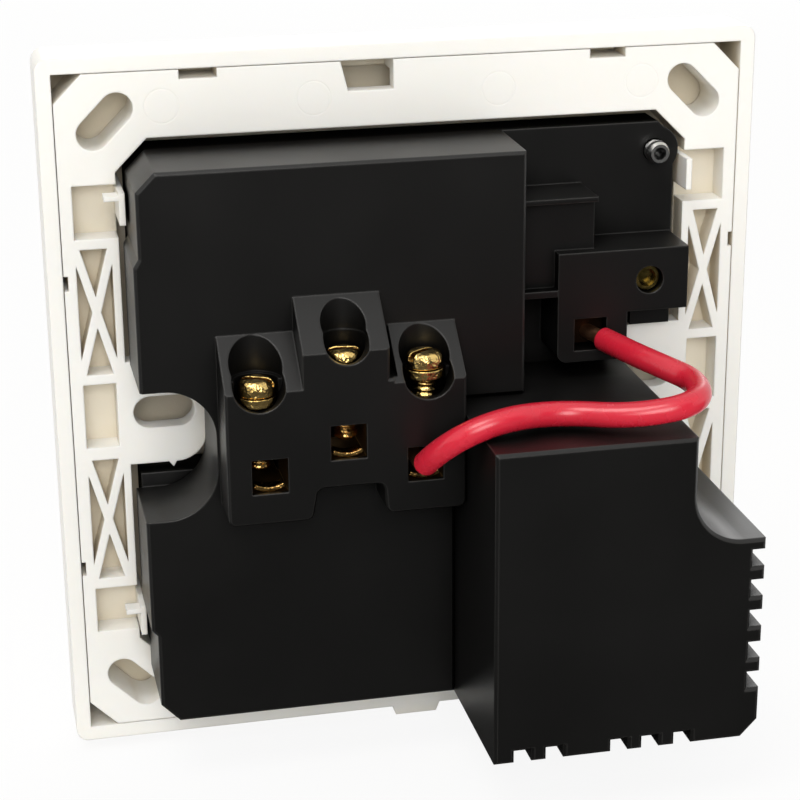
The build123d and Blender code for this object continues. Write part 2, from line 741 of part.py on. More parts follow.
with BuildPart() as usb_shells:
    with BuildSketch(back(cover_inside + 0.2)):
        for v in port_v:
            with Locations((port_u, v)):
                Rectangle(port_w, port_h)
                Rectangle(port_w - 0.8, port_h - 0.8, mode=Mode.SUBTRACT)
    extrude(amount=board_y - cover_inside - 0.2)
save(usb_shells, "usb_shells")

with BuildPart() as usb_tongues:
    with BuildSketch(back(board_y - 3.0)):
        for v in port_v:
            with Locations((port_u, v)):
                Rectangle(port_w - 0.9, port_h - 0.9)
    extrude(amount=3.0)
    with BuildSketch(back(cover_inside + 1.2)):
        for v in port_v:
            with Locations((port_u, v + 0.95)):
                Rectangle(port_w - 2.0, 1.9)
    extrude(amount=board_y - cover_inside - 2.0)
save(usb_tongues, "usb_tongues")

with BuildPart() as transformer:
    with BuildSketch(back(board_back)):
        rect(7.0, scoop_u - 6.5, case_low + 6.8, -16.0)
    extrude(amount=2.0)
    with BuildSketch(back(board_back + 2.0)):
        rect(8.5, scoop_u - 8.0, case_low + 7.8, -17.0)
    extrude(amount=8.0)
    with BuildSketch(back(board_back + 10.0)):
        rect(7.0, scoop_u - 6.5, case_low + 6.8, -16.0)
    extrude(amount=2.0)
save(transformer, "transformer")

with BuildPart() as capacitors:
    with BuildSketch(back(board_back)):
        with Locations((case_right - 8.1, case_low + 8.6), (10.5, -6.5)):
            Circle(3.8)
    extrude(amount=14.0)
    chamfer(capacitors.faces().filter_by(Axis.Y).group_by(Axis.Y)[-1].edges(), 0.6)
save(capacitors, "capacitors")

# Link wire: straight runs joined by tangent arcs, then a bare end into each terminal
path = [Vector(-u, y, v) for u, v, y in route]
runs = [(b - a).length for a, b in zip(path, path[1:])]
radii = []
for i in range(1, len(path) - 1):
    turn = (path[i] - path[i - 1]).get_angle(path[i + 1] - path[i])
    radii.append(0.45 * min(runs[i - 1], runs[i]) / tan(radians(turn / 2)))
    print("bend", i, "turn", round(turn, 1), "radius", round(radii[-1], 2), "run", round(runs[i - 1], 2))
with BuildPart() as link_wire:
    with BuildLine() as wire_line:
        FilletPolyline(*path, radius=radii)
    with BuildSketch(Plane(origin=path[0], z_dir=path[1] - path[0])):
        Circle(wire_d / 2)
    sweep(path=wire_line.line)
wire_length = sum(e.length for e in wire_line.edges())
print("wire length", round(wire_length, 2), "volume", round(link_wire.part.volume, 2))
print("section times length", round(wire_length * pi * wire_d ** 2 / 4, 2))
save(link_wire, "link_wire")

end_dir = (path[-1] - path[-2]).normalized()
bare = path[-1] + end_dir * 1.3
with BuildPart() as link_wire_cores:
    with BuildSketch(Plane(origin=path[0], z_dir=path[0] - path[1])):
        Circle(core_d / 2)
    extrude(amount=4.6)
    with BuildSketch(back(clamp_y)):
        rect(15.0, 30.0, 0.0, 15.0)
    extrude(amount=clamp_t, mode=Mode.SUBTRACT)
    with BuildLine() as bare_line:
        FilletPolyline(path[-1], bare, Vector(bare.X, cage_front + 1.0, bare.Z), radius=1.5)
    with BuildSketch(Plane(origin=path[-1], z_dir=end_dir)):
        Circle(core_d / 2)
    sweep(path=bare_line.line)
save(link_wire_cores, "link_wire_cores")
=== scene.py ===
from math import cos, pi, radians, sin

import bpy
from mathutils import Matrix, Vector


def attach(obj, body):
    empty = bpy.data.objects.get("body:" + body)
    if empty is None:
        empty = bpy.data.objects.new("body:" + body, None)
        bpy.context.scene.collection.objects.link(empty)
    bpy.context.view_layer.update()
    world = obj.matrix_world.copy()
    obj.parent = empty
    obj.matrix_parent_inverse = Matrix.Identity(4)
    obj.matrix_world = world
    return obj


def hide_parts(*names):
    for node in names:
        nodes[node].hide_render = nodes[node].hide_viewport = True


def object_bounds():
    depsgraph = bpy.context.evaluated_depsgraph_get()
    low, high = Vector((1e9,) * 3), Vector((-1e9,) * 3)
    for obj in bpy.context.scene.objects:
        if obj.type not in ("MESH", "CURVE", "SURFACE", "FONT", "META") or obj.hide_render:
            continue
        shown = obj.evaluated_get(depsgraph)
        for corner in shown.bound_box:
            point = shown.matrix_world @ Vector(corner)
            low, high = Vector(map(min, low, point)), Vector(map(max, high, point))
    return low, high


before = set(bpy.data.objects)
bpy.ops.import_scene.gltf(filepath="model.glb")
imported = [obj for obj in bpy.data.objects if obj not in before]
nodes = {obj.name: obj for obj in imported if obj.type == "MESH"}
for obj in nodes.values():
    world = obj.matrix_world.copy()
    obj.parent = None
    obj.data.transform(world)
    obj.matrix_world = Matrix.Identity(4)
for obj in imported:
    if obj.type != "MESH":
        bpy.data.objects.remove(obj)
cad_low, cad_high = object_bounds()
scene = bpy.context.scene

# Red link wire
# A stiff single-core building wire that feeds the switch from a rear terminal. Its PVC is extruded
# round the copper, stripped at both ends and bent by hand over the charger box.
MM = 0.001
WIRE_DIAMETER = 2.9 * MM
WIRE_ROUTE = [
    (22.15, 7.62, 8.4),
    (23.8, 7.45, 13.4),
    (26.2, 7.0, 17.8),
    (29.2, 6.2, 22.0),
    (26.9, 6.2, 29.2),
    (19.5, 4.9, 28.0),
    (12.0, 4.5, 23.6),
    (4.5, 5.1, 26.0),
    (-1.6, 2.2, 25.0),
    (-2.4, -2.0, 19.3),
]


class Shade:
    """A socket of a material; arithmetic on it adds Math nodes."""

    def __init__(self, finish, socket):
        self.finish = finish
        self.socket = socket

    def math(self, operation, first, second=0.0):
        return self.finish.node("ShaderNodeMath", {"operation": operation}, {0: first, 1: second})

    def __add__(self, other):
        return self.math("ADD", self, other)

    def __sub__(self, other):
        return self.math("SUBTRACT", self, other)

    def __rsub__(self, other):
        return self.math("SUBTRACT", other, self)

    def __mul__(self, other):
        return self.math("MULTIPLY", self, other)

    def __pow__(self, other):
        return self.math("POWER", self, other)

    def __abs__(self):
        return self.math("ABSOLUTE", self)

    def above(self, edge):
        return self.math("GREATER_THAN", self, edge)

    def least(self, other):
        return self.math("MINIMUM", self, other)

    def most(self, other):
        return self.math("MAXIMUM", self, other)

    __radd__ = __add__
    __rmul__ = __mul__


class Finish:
    """A material under construction, ending in one Principled shader."""

    BEVEL_SAMPLES = 6
    OPENNESS_SAMPLES = 8
    EDGE_GAIN = 6.0

    def __init__(self, name, **constants):
        self.material = bpy.data.materials.new(name)
        self.material.use_nodes = True
        self.tree = self.material.node_tree
        self.shader = self.tree.nodes["Principled BSDF"]
        for socket, value in constants.items():
            self.shader.inputs[socket.replace("_", " ")].default_value = value
        self.place = self.node("ShaderNodeTexCoord", {}, {}, "Object")

    def node(self, kind, settings, sockets, output=0):
        made = self.tree.nodes.new(kind)
        for name, value in settings.items():
            if name == "stops":
                for stop, (position, colour) in zip(made.color_ramp.elements, value):
                    stop.position = position
                    stop.color = colour
            else:
                setattr(made, name, value)
        for name, value in sockets.items():
            if isinstance(value, Shade):
                self.tree.links.new(value.socket, made.inputs[name])
            else:
                made.inputs[name].default_value = value
        return Shade(self, made.outputs[output])

    def noise(self, scale, detail=2.0):
        return self.node("ShaderNodeTexNoise", {}, {"Vector": self.place, "Scale": scale, "Detail": detail})

    def axis(self, letter):
        return self.node("ShaderNodeSeparateXYZ", {}, {"Vector": self.place}, letter)

    def openness(self, distance):
        """One on open faces, falling to nothing in corners and pockets."""
        settings = {"samples": self.OPENNESS_SAMPLES}
        return self.node("ShaderNodeAmbientOcclusion", settings, {"Distance": distance}, "AO")

    def rounded(self, radius):
        """The surface's normal with its edges softened."""
        return self.node("ShaderNodeBevel", {"samples": self.BEVEL_SAMPLES}, {"Radius": radius})

    def facing(self):
        return self.node("ShaderNodeNewGeometry", {}, {}, "Normal")

    def edge(self, radius):
        """Rises on outer edges, where a rounded normal leaves the flat one."""
        pair = {0: self.rounded(radius), 1: self.facing()}
        alike = self.node("ShaderNodeVectorMath", {"operation": "DOT_PRODUCT"}, pair, "Value")
        return ((1.0 - alike) * self.EDGE_GAIN).least(1.0)

    def between(self, factor, low, high, start=0.0, end=1.0):
        stops = [(start, (*low, 1.0)), (end, (*high, 1.0))]
        return self.node("ShaderNodeValToRGB", {"stops": stops}, {"Fac": factor})

    def rise(self, factor, start, end):
        """Nothing up to the start, one from the end on."""
        return self.between(factor, (0.0,) * 3, (1.0,) * 3, start, end)

    def blend(self, factor, low, high):
        return self.node("ShaderNodeMix", {"data_type": "RGBA"}, {0: factor, 6: low, 7: high}, 2)

    def bump(self, height, strength, distance, rounding=0.0):
        sockets = {"Height": height, "Strength": strength, "Distance": distance}
        if rounding:
            sockets["Normal"] = self.rounded(rounding)
        return self.node("ShaderNodeBump", {}, sockets)

    def feed(self, **sockets):
        for name, value in sockets.items():
            self.tree.links.new(value.socket, self.shader.inputs[name.replace("_", " ")])
        return self.material


def row_point(u, v, y):
    """A point given as seen from behind, in the row's metres."""
    return Vector((-u * MM, y * MM, v * MM))


pvc = Finish("red_wire_pvc", Specular_IOR_Level=0.62, Subsurface_Weight=0.2, Subsurface_Scale=0.0014)
pvc.shader.inputs["Subsurface Radius"].default_value = (1.0, 0.2, 0.15)
pvc_streak = pvc.noise(420.0, 3.0)
pvc_blush = pvc.noise(60.0, 2.0)
red_pvc = pvc.feed(
    Base_Color=pvc.between(pvc_blush, (0.55, 0.011, 0.030), (0.66, 0.020, 0.046)),
    Roughness=0.21 + 0.12 * pvc_streak,
    Normal=pvc.bump(pvc_streak, 0.08, 0.0002),
)
wire_curve = bpy.data.curves.new("red_link_wire", "CURVE")
wire_curve.dimensions = "3D"
wire_line = wire_curve.splines.new("NURBS")
wire_line.points.add(len(WIRE_ROUTE) - 1)
for control, spot in zip(wire_line.points, WIRE_ROUTE):
    control.co = (*row_point(*spot), 1.0)
wire_line.order_u = 3
wire_line.use_endpoint_u = True
wire_line.resolution_u = 16
wire_curve.bevel_depth = WIRE_DIAMETER / 2
wire_curve.bevel_resolution = 8
wire_curve.use_fill_caps = True
wire_curve.materials.append(red_pvc)
red_wire = bpy.data.objects.new("red_link_wire", wire_curve)
scene.collection.objects.link(red_wire)
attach(red_wire, "outlet")
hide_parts("link_wire")

# Bare copper ends
# The stripped ends of the same wire, drawn copper, each pushed into its clamp and held by a screw.
bare = Finish("drawn_copper", Metallic=1.0)
copper = bare.feed(
    Base_Color=bare.between(bare.noise(700.0), (0.50, 0.22, 0.11), (0.72, 0.38, 0.22)),
    Roughness=0.3 + 0.2 * bare.noise(1500.0),
)


def dress(material, *names):
    """Gives CAD pieces their finish."""
    for name in names:
        for place in nodes[name].material_slots:
            place.material = material


dress(copper, "link_wire_cores")

# Mounting frame and front cover
# Injection-moulded warm white plastic, as are the rocker, the shutter and the port tongues. The cover
# clips round the frame. Painted tan shade fills pockets, corners and deep back-facing floors, painted top
# light keeps upward faces white, and faint ejector rings mark the top and bottom bands.
RING_RADIUS = 2.0
RING_WIDTH = 0.14
RING_HEIGHT = 37.0
RING_SPREADS = (28.8, 11.1)
FRAME_BACK = -0.5 * MM
INNER_DEPTH = 2.0 * MM
white = Finish("warm_white_plastic", Specular_IOR_Level=0.4, Subsurface_Weight=0.12, Subsurface_Scale=0.001)
white.shader.inputs["Subsurface Radius"].default_value = (1.2, 0.9, 0.6)
white_cloud = white.noise(45.0, 3.0)
white_grain = white.noise(2600.0, 2.0)
across = abs(white.axis("X"))
upward = abs(white.axis("Z"))


def ring(spread):
    """One on thin circles at four mirrored places."""
    reach = ((across - spread * MM) ** 2.0 + (upward - RING_HEIGHT * MM) ** 2.0) ** 0.5
    return (1.0 - abs(reach - RING_RADIUS * MM) * (1 / (RING_WIDTH * MM))).most(0.0)


outer_rings, inner_rings = (ring(spread) for spread in RING_SPREADS)
ejector_rings = outer_rings.most(inner_rings) * white.axis("Y").above(FRAME_BACK)
open_white = white.between(white_cloud, (0.845, 0.832, 0.79), (0.88, 0.872, 0.84))
# Painted shade: tan for pockets, darker tan where the openness falls further.
painted_pocket_shade = white.blend(
    white.rise(white.openness(0.009), 0.05, 0.3), (0.64, 0.56, 0.42, 1.0), (0.81, 0.745, 0.62, 1.0)
)
white_facing = white.facing()
# Painted top light: upward faces keep the open white colour.
painted_top_light = white.node("ShaderNodeSeparateXYZ", {}, {"Vector": white_facing}, "Z")
facing_back = white.node("ShaderNodeSeparateXYZ", {}, {"Vector": white_facing}, "Y")
# Painted shade: back-facing floors deeper than INNER_DEPTH take the tan pocket colour.
painted_floor_shade = facing_back.above(0.5) * (-1.0 * white.axis("Y")).above(INNER_DEPTH)
shade_openness = white.rise(white.openness(0.004), 0.1, 0.75)
# The base colour paints shade tan where the openness is low, except on upward faces.
warm_white = white.feed(
    Base_Color=white.blend(shade_openness.most(painted_top_light) * (1.0 - painted_floor_shade), painted_pocket_shade, open_white),
    Roughness=0.36 + 0.14 * white_cloud,
    Normal=white.bump(white_grain * 0.2 - ejector_rings, 0.3, 0.00008, 0.0003),
)
dress(warm_white, "front_cover", "mounting_frame", "shutter", "rocker", "usb_tongues")

# Rear base and charger box
# Satin black moulded plastic with a fine spark-eroded texture, a painted highlight on its edges and a dull
# near-black shader as painted shade in its hollows. The box stands on the base, and a screw from the front
# draws the flange to the frame.
black = Finish("satin_black_plastic", Specular_IOR_Level=0.45)
black_cloud = black.noise(70.0, 4.0)
black_grain = black.noise(3200.0, 2.0)
black_tone = black.between(black_cloud, (0.0022, 0.0021, 0.0020), (0.0048, 0.0046, 0.0043))
# Painted highlight: the base colour turns lighter grey along outer edges.
satin_black = black.feed(
    Base_Color=black.blend(black.edge(0.00022), black_tone, (0.036, 0.035, 0.033, 1.0)),
    Roughness=0.32 + 0.12 * black_cloud,
    Normal=black.bump(black_grain, 0.10, 0.00006, 0.0003),
)
# Painted shade: a dull near-black shader takes over where the openness falls, in bores and hollows.
painted_hollow_shade = black.between(black.openness(0.006), (1.0,) * 3, (0.0,) * 3, 0.2, 0.66)
black_output = black.tree.nodes["Material Output"]
shade_black_shader = black.node(
    "ShaderNodeBsdfPrincipled",
    {},
    {"Base Color": (0.0015, 0.0014, 0.0013, 1.0), "Roughness": 0.8, "Specular IOR Level": 0.02},
)
black_surface = black.node(
    "ShaderNodeMixShader", {}, {0: painted_hollow_shade, 1: Shade(black, black.shader.outputs[0]), 2: shade_black_shader}
)
black.tree.links.new(black_surface.socket, black_output.inputs["Surface"])
dress(satin_black, "rear_base", "usb_case")

# Stamped brass
# Clamp cages, strips and the spring leaf, pressed from strip, in a dark tone as painted shade inside the
# block, with a painted highlight on cut edges.
# The switch block's clamp is painted near black as shade in its deep hole, and the screw in it is olive
# with painted shade darkening its cup.
stamped = Finish("stamped_brass", Metallic=1.0)
stamped_tarnish = stamped.noise(520.0, 3.0)
# Painted shade: a dark brass tone for the parts that sit in shade inside the block.
shaded_stamped_tone = stamped.between(stamped_tarnish, (0.10, 0.052, 0.017), (0.26, 0.15, 0.05))
# Painted highlight: bright brass along the outer edges.
stamped_brass = stamped.feed(
    Base_Color=stamped.blend(stamped.edge(0.0002), shaded_stamped_tone, (0.85, 0.62, 0.28, 1.0)),
    Roughness=0.34 + 0.2 * stamped_tarnish,
    Normal=stamped.bump(stamped.noise(4000.0), 0.05, 0.00005, 0.0002),
)
dress(stamped_brass, "live_contact", "neutral_contact", "earth_contact", "contact_leaf")
# Painted shade: the switch clamp sits deep in its hole, so its brass is painted near black.
clamp_shade = Finish("shade_dark_brass", Metallic=1.0)
clamp_tarnish = clamp_shade.noise(600.0, 3.0)
shade_dark_brass = clamp_shade.feed(
    Base_Color=clamp_shade.between(clamp_tarnish, (0.012, 0.006, 0.004), (0.036, 0.019, 0.010)),
    Roughness=0.36 + 0.2 * clamp_tarnish,
)
dress(shade_dark_brass, "switch_clamp")
olive = Finish("olive_brass", Metallic=1.0)
olive_tarnish = olive.noise(1400.0, 3.0)
olive_tone = olive.between(olive_tarnish, (0.16, 0.12, 0.03), (0.50, 0.38, 0.12), 0.3, 0.7)
# Painted shade: the screw's cup and hollows turn near black where the openness falls.
olive_brass = olive.feed(
    Base_Color=olive.blend(
        olive.rise(olive.openness(0.0014), 0.3, 0.8), (0.03, 0.022, 0.006, 1.0), olive_tone
    ),
    Roughness=0.12 + 0.25 * olive_tarnish,
)
dress(olive_brass, "switch_screw")

# Turned brass
# Bright screws, saddles and captive washers, with painted shade darkening the slots and under the heads.
# What lies low in the terminals, inside the clamp cages, is painted a darker, redder tone as shade.
LOW_PIECES = 4.2 * MM
turned = Finish("turned_brass", Metallic=1.0)
tarnish = turned.noise(520.0, 3.0)
# Painted shade: below LOW_PIECES the brass is darker and redder.
turned_tone_low_shade = turned.blend(
    turned.axis("Z").above(LOW_PIECES),
    turned.between(tarnish, (0.55, 0.30, 0.09), (0.80, 0.52, 0.18)),
    turned.between(tarnish, (0.70, 0.46, 0.14), (0.92, 0.69, 0.28)),
)
# Painted shade: slots and the places under the heads turn dark brown where the openness falls.
turned_brass = turned.feed(
    Base_Color=turned.blend(
        turned.rise(turned.openness(0.0015), 0.1, 0.7), (0.20, 0.10, 0.02, 1.0), turned_tone_low_shade
    ),
    Roughness=0.08 + 0.16 * tarnish,
    Normal=turned.bump(turned.noise(1300.0, 3.0), 0.9, 0.0003, 0.0002),
)
dress(turned_brass, "terminal_washers")

# Terminal screws
# Three alike: turned brass with a domed slotted head and a rolled thread down to a blunt tip. Each
# hangs through a captive washer into its clamp cage, left at a different turn.
AROUND = 56
ROWS_PER_TURN = 8
SHARP_ANGLE = radians(38)
SCREW_HEAD = [
    (0.9, 1.90),
    (1.35, 1.86),
    (1.72, 1.72),
    (2.0, 1.42),
    (2.13, 1.05),
    (2.15, 0.80),
    (2.15, 0.12),
    (2.05, 0.0),
    (1.5, 0.0),
]
SCREW_THREAD = (1.5, -0.25, -8.5)
SCREW_PITCH = 0.7
SCREW_GROOVE = 0.26
SCREW_TIP = [(1.38, -8.62), (0.92, -9.0), (0.3, -9.0)]
SCREW_SLOT = ((-3, -0.4, 0.95), (3, 0.4, 3))
# Across, up and back as seen from behind, in mm, then the turn in degrees
SCREW_SPOTS = [(-21.1, 6.5, 14.7, 155), (-10.9, 9.3, 14.6, 172), (-1.5, 8.3, 14.7, 30)]


def shape(name, points, faces):
    """A plain mesh, linked to the scene."""
    mesh = bpy.data.meshes.new(name)
    mesh.from_pydata(points, [], faces)
    made = bpy.data.objects.new(name, mesh)
    scene.collection.objects.link(made)
    return made


def lathe(name, above, thread, below, pitch, depth):
    """A turned template about Z from (radius, height) lists in mm, round a shank with a helical groove.

    The thread is the shank's radius, top and bottom.
    """
    radius, high, low = thread
    steps = int((high - low) / pitch * ROWS_PER_TURN)
    rows = [[(r, z)] * AROUND for r, z in above]
    for step in range(steps + 1):
        z = high + (low - high) * step / steps
        fade = min(1.0, (high - z) / pitch, (z - low) / pitch)
        row = []
        for spoke in range(AROUND):
            phase = (z / pitch + spoke / AROUND) % 1.0
            row.append((radius - depth * fade * abs(2 * phase - 1), z))
        rows.append(row)
    rows += [[(r, z)] * AROUND for r, z in below]
    points = []
    for row in rows:
        for spoke, (r, z) in enumerate(row):
            turn = 2 * pi * spoke / AROUND
            points.append((r * cos(turn) * MM, r * sin(turn) * MM, z * MM))
    faces = [list(range(AROUND)), list(range(len(points) - 1, len(points) - AROUND - 1, -1))]
    for row in range(len(rows) - 1):
        for spoke in range(AROUND):
            near = row * AROUND + spoke
            far = row * AROUND + (spoke + 1) % AROUND
            faces.append((near, near + AROUND, far + AROUND, far))
    return shape(name, points, faces)


def box(name, low, high):
    """A plain box between two corners in mm."""
    corners = []
    for x in (low[0], high[0]):
        for y in (low[1], high[1]):
            for z in (low[2], high[2]):
                corners.append((x * MM, y * MM, z * MM))
    sides = [(0, 1, 3, 2), (4, 6, 7, 5), (0, 4, 5, 1), (2, 3, 7, 6), (0, 2, 6, 4), (1, 5, 7, 3)]
    return shape(name, corners, sides)


def settle(piece):
    """Leaves a piece with the plain mesh that its modifiers make."""
    bpy.context.view_layer.update()
    plain = bpy.data.meshes.new_from_object(piece.evaluated_get(bpy.context.evaluated_depsgraph_get()))
    piece.modifiers.clear()
    piece.data = plain


def cut(template, *cutters):
    """Takes boxes out of a template."""
    for cutter in cutters:
        slot = template.modifiers.new("slot", "BOOLEAN")
        slot.operation = "DIFFERENCE"
        slot.object = cutter
    settle(template)
    for cutter in cutters:
        bpy.data.objects.remove(cutter)


def repeats(name, template, places, finish, smooth=True):
    """Sets a template on turned points with geometry nodes and leaves one plain mesh on the outlet."""
    tree = bpy.data.node_groups.new(name, "GeometryNodeTree")
    tree.interface.new_socket("Points", in_out="INPUT", socket_type="NodeSocketGeometry")
    of_template = tree.interface.new_socket("Template", in_out="INPUT", socket_type="NodeSocketObject")
    of_finish = tree.interface.new_socket("Finish", in_out="INPUT", socket_type="NodeSocketMaterial")
    tree.interface.new_socket("Pieces", in_out="OUTPUT", socket_type="NodeSocketGeometry")
    given = tree.nodes.new("NodeGroupInput")
    pattern = tree.nodes.new("GeometryNodeObjectInfo")
    turn = tree.nodes.new("GeometryNodeInputNamedAttribute")
    turn.data_type = "FLOAT_VECTOR"
    turn.inputs["Name"].default_value = "turn"
    copies = tree.nodes.new("GeometryNodeInstanceOnPoints")
    joined = tree.nodes.new("GeometryNodeRealizeInstances")
    coated = tree.nodes.new("GeometryNodeSetMaterial")
    made = tree.nodes.new("NodeGroupOutput")
    tree.links.new(given.outputs["Template"], pattern.inputs["Object"])
    tree.links.new(given.outputs["Points"], copies.inputs["Points"])
    tree.links.new(pattern.outputs["Geometry"], copies.inputs["Instance"])
    tree.links.new(turn.outputs["Attribute"], copies.inputs["Rotation"])
    tree.links.new(copies.outputs["Instances"], joined.inputs["Geometry"])
    tree.links.new(joined.outputs["Geometry"], coated.inputs["Geometry"])
    tree.links.new(given.outputs["Finish"], coated.inputs["Material"])
    tree.links.new(coated.outputs["Geometry"], made.inputs["Pieces"])
    piece = shape(name, [place for place, turning in places], [])
    turns = piece.data.attributes.new("turn", "FLOAT_VECTOR", "POINT")
    for point, (place, turning) in zip(turns.data, places):
        point.vector = turning
    repeat = piece.modifiers.new("repeat", "NODES")
    repeat.node_group = tree
    repeat[of_template.identifier] = template
    repeat[of_finish.identifier] = finish
    settle(piece)
    bpy.data.objects.remove(template)
    if smooth:
        piece.data.shade_smooth()
        piece.data.set_sharp_from_angle(angle=SHARP_ANGLE)
    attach(piece, "outlet")
    return piece


screw = lathe("terminal_screw", SCREW_HEAD, SCREW_THREAD, SCREW_TIP, SCREW_PITCH, SCREW_GROOVE)
cut(screw, box("screw_slot", *SCREW_SLOT))
screw_places = [(row_point(u, v, y), (0, 0, radians(turn))) for u, v, y, turn in SCREW_SPOTS]
screws = repeats("brass_terminal_screws", screw, screw_places, turned_brass)
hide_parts("terminal_screws")

# Clamp saddles
# Small curved plates of polished brass that lie in the clamp cages and carry the wire under the screws.
SADDLE_RADIUS = 3.2
SADDLE_THICK = 0.45
SADDLE_DEEP = 1.7
SADDLE_LEAN = 30
SADDLE_STEPS = 12
SADDLE_CORNERS = 4
SADDLE_BACK = 16.85
SADDLE_SPOTS = [(-20.2, -4.7), (-11.0, -1.3), (-2.0, -4.7)]
saddle_points = []
for step in range(SADDLE_STEPS + 1):
    lean = radians(-SADDLE_LEAN + 2 * SADDLE_LEAN * step / SADDLE_STEPS)
    for reach in (SADDLE_RADIUS, SADDLE_RADIUS + SADDLE_THICK):
        height = SADDLE_RADIUS + SADDLE_THICK - reach * cos(lean)
        for y in (0.0, -SADDLE_DEEP):
            saddle_points.append((reach * sin(lean) * MM, y * MM, height * MM))
last = SADDLE_CORNERS * SADDLE_STEPS
saddle_faces = [(0, 2, 3, 1), (last, last + 1, last + 3, last + 2)]
for step in range(SADDLE_STEPS):
    here = SADDLE_CORNERS * step
    ahead = here + SADDLE_CORNERS
    for near, far in ((0, 2), (2, 3), (3, 1), (1, 0)):
        saddle_faces.append((here + near, ahead + near, ahead + far, here + far))
saddle = shape("clamp_saddle", saddle_points, saddle_faces)
saddle_places = [(row_point(u, v, SADDLE_BACK), (0, 0, 0)) for u, v in SADDLE_SPOTS]
repeats("clamp_saddles", saddle, saddle_places, turned_brass)

# Plated steel
# The shells of the charger's ports, folded from tinned strip, soldered to the board, with painted shade
# darkening the corners.
plated = Finish("plated_steel", Metallic=1.0)
plated_wear = plated.noise(900.0, 3.0)
bright_steel = plated.between(plated_wear, (0.55, 0.55, 0.54), (0.74, 0.74, 0.73))
# Painted shade: the colour falls to near black in corners and hollows.
steel = plated.feed(
    Base_Color=plated.blend(
        plated.rise(plated.openness(0.0012), 0.25, 0.8), (0.02, 0.02, 0.02, 1.0), bright_steel
    ),
    Roughness=0.16 + 0.16 * plated_wear,
)
dress(steel, "usb_shells")

# Assembly screw
# A plated self-tapping screw driven from the front; its hollow-ended tip stands out of the flange.
TACK_HEAD = [(1.2, 1.70), (2.0, 1.65), (2.25, 1.42), (2.3, 1.2), (2.3, 0.0), (1.4, 0.0)]
TACK_THREAD = (1.4, -0.3, -6.6)
TACK_PITCH = 0.8
TACK_GROOVE = 0.24
TACK_TIP = [(1.36, -6.75), (1.12, -7.2), (0.78, -7.2), (0.66, -6.9), (0.6, -5.6)]
TACK_SPOT = (30.6, 28.5, -4.8)
CROSS_LONG = 1.6
CROSS_WIDE = 0.35
CROSS_FLOOR = 0.8
CROSS_TOP = 3
tack = lathe("assembly_tack", TACK_HEAD, TACK_THREAD, TACK_TIP, TACK_PITCH, TACK_GROOVE)
cross = []
for name, x, y in (("cross_a", CROSS_LONG, CROSS_WIDE), ("cross_b", CROSS_WIDE, CROSS_LONG)):
    cross.append(box(name, (-x, -y, CROSS_FLOOR), (x, y, CROSS_TOP)))
cut(tack, *cross)
tack_places = [(row_point(*TACK_SPOT), (radians(90), 0, 0))]
tack_piece = repeats("plated_assembly_screw", tack, tack_places, steel)
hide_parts("assembly_screw")

# Port contacts
# Four springs lie along the underside of each port's tongue, stamped from bronze strip, gilt and
# moulded in.
PORT_MIDDLE = 16.5
PORT_HEIGHTS = (-10.0, -22.0)
CONTACT_SHIFTS = (-3.5, -1.0, 1.0, 3.5)
CONTACT_BOX = ((-0.5, -5.0, -0.12), (0.5, 3.4, 0.0))
gilt = Finish("gilt_contacts", Metallic=1.0)
gilt_wear = gilt.noise(900.0, 3.0)
gilding = gilt.feed(
    Base_Color=gilt.between(gilt_wear, (0.78, 0.54, 0.18), (0.92, 0.70, 0.30)),
    Roughness=0.15 + 0.15 * gilt_wear,
)
strip = box("contact_strip", *CONTACT_BOX)
strip_places = []
for port in PORT_HEIGHTS:
    for shift in CONTACT_SHIFTS:
        strip_places.append((row_point(PORT_MIDDLE + shift, port, 0), (0, 0, 0)))
repeats("port_contacts", strip, strip_places, gilding, smooth=False)

# Charger board
# Green solder mask on glass laminate, with a taped transformer and sleeved capacitors soldered behind
# it. The board stands inside the charger box.
mask = Finish("solder_mask")
solder_mask = mask.feed(
    Base_Color=mask.between(mask.noise(260.0), (0.010, 0.10, 0.035), (0.018, 0.15, 0.05)),
    Roughness=0.3 + 0.15 * mask.noise(800.0),
)
dress(solder_mask, "usb_board")
tape = Finish("winding_tape")
winding_tape = tape.feed(
    Base_Color=tape.between(tape.noise(300.0), (0.62, 0.46, 0.06), (0.74, 0.58, 0.10)),
    Roughness=0.3 + 0.2 * tape.noise(900.0),
)
dress(winding_tape, "transformer")
sleeve = Finish("capacitor_sleeve")
dark_sleeve = sleeve.feed(
    Base_Color=sleeve.between(sleeve.noise(300.0), (0.015, 0.018, 0.03), (0.03, 0.035, 0.05)),
    Roughness=0.25 + 0.15 * sleeve.noise(900.0),
)
dress(dark_sleeve, "capacitors")

# Studio
# White paper under the outlet, a soft lamp above, a key behind the camera and a soft card at the front.
# A dark felt flag on the camera's side shows only in reflections. The camera has the photo's angle.
FLOOR_DROP = 0.0002
FLOOR_Z = cad_low.z - FLOOR_DROP
SWEEP = 3.0
PAPER_GLOW = 0.9
FLAG_LIFT = 0.0005
FLAG_HALF = 1.8
FLAG_DEEP = 1.7
FLAG_TALL = 1.6
SKY_FILL = 0.56
SKY_SEEN = 1.0
floor_corners = [(-SWEEP, -SWEEP), (SWEEP, -SWEEP), (SWEEP, SWEEP), (-SWEEP, SWEEP)]
floor = shape("studio_floor", [(x, y, FLOOR_Z) for x, y in floor_corners], [(0, 1, 2, 3)])
paper = bpy.data.materials.new("white_paper")
paper.use_nodes = True
paper_tree = paper.node_tree
paper_tree.nodes.clear()
paper_out = paper_tree.nodes.new("ShaderNodeOutputMaterial")
paper_mix = paper_tree.nodes.new("ShaderNodeMixShader")
paper_lit = paper_tree.nodes.new("ShaderNodeBsdfDiffuse")
paper_lit.inputs["Color"].default_value = (0.85, 0.85, 0.84, 1.0)
paper_glow = paper_tree.nodes.new("ShaderNodeEmission")


